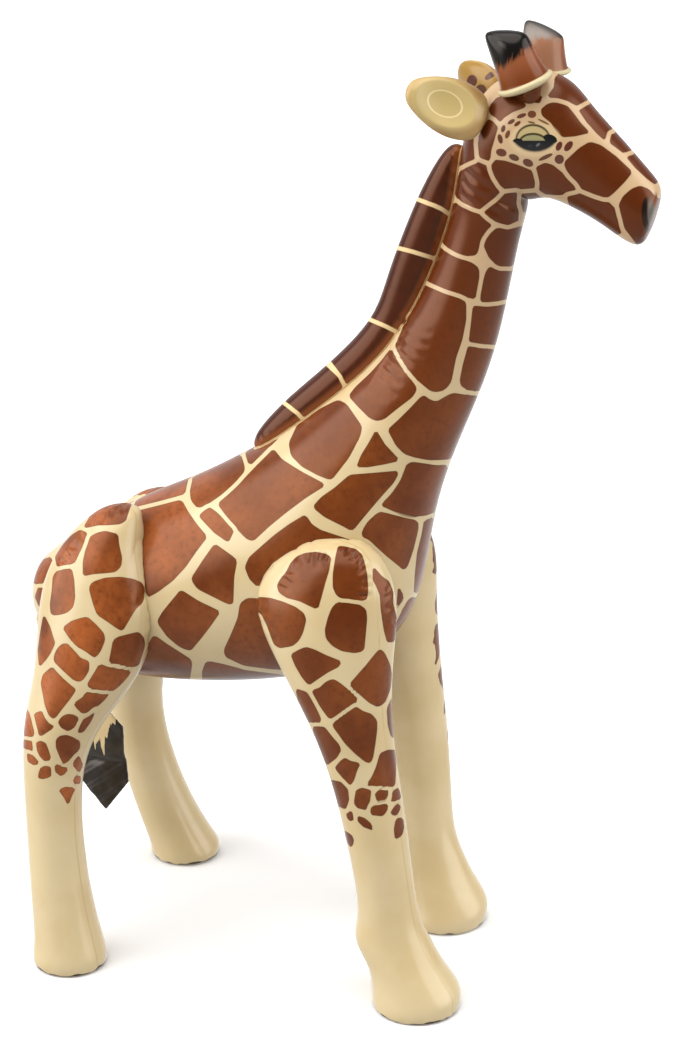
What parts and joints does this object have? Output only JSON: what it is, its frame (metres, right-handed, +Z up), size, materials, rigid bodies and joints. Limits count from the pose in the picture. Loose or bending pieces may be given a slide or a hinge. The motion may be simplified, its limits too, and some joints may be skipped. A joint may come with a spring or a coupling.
{
  "type": "inflatable giraffe",
  "caption": "Standing inflatable giraffe with welded legs, mane, ears, horns and a flat tail, resting on round soles.",
  "frame": {"origin": "on the floor, under the middle of the figure's box, in its plane of symmetry", "axes": "the figure faces -Y, its right side is at -X and +Z is up"},
  "size_m": [0.3038, 0.5822, 0.9015],
  "materials": {
    "printed_vinyl": "glossy vinyl film printed with brown patches on cream",
    "leg_vinyl": "glossy cream vinyl film, printed with brown patches on the outer thigh",
    "mane_vinyl": "glossy vinyl film printed dark brown",
    "ear_vinyl": "glossy cream vinyl film",
    "horn_vinyl": "glossy vinyl film, brown with a black tip and a cream collar",
    "tuft_vinyl": "flat glossy vinyl flap, black with a cream fringe print",
    "sole_vinyl": "flat dark vinyl disc"
  },
  "bodies": {
    "root": {"body": "printed_vinyl", "mane": "mane_vinyl", "leg_front_right": "leg_vinyl", "leg_front_left": "leg_vinyl", "leg_hind_right": "leg_vinyl", "leg_hind_left": "leg_vinyl", "sole_front_right": "sole_vinyl", "sole_front_left": "sole_vinyl", "sole_hind_right": "sole_vinyl", "sole_hind_left": "sole_vinyl", "ear_right": "ear_vinyl", "ear_left": "ear_vinyl", "horn_right": "horn_vinyl", "horn_left": "horn_vinyl", "tail": "tuft_vinyl"}
  },
  "joints": []
}
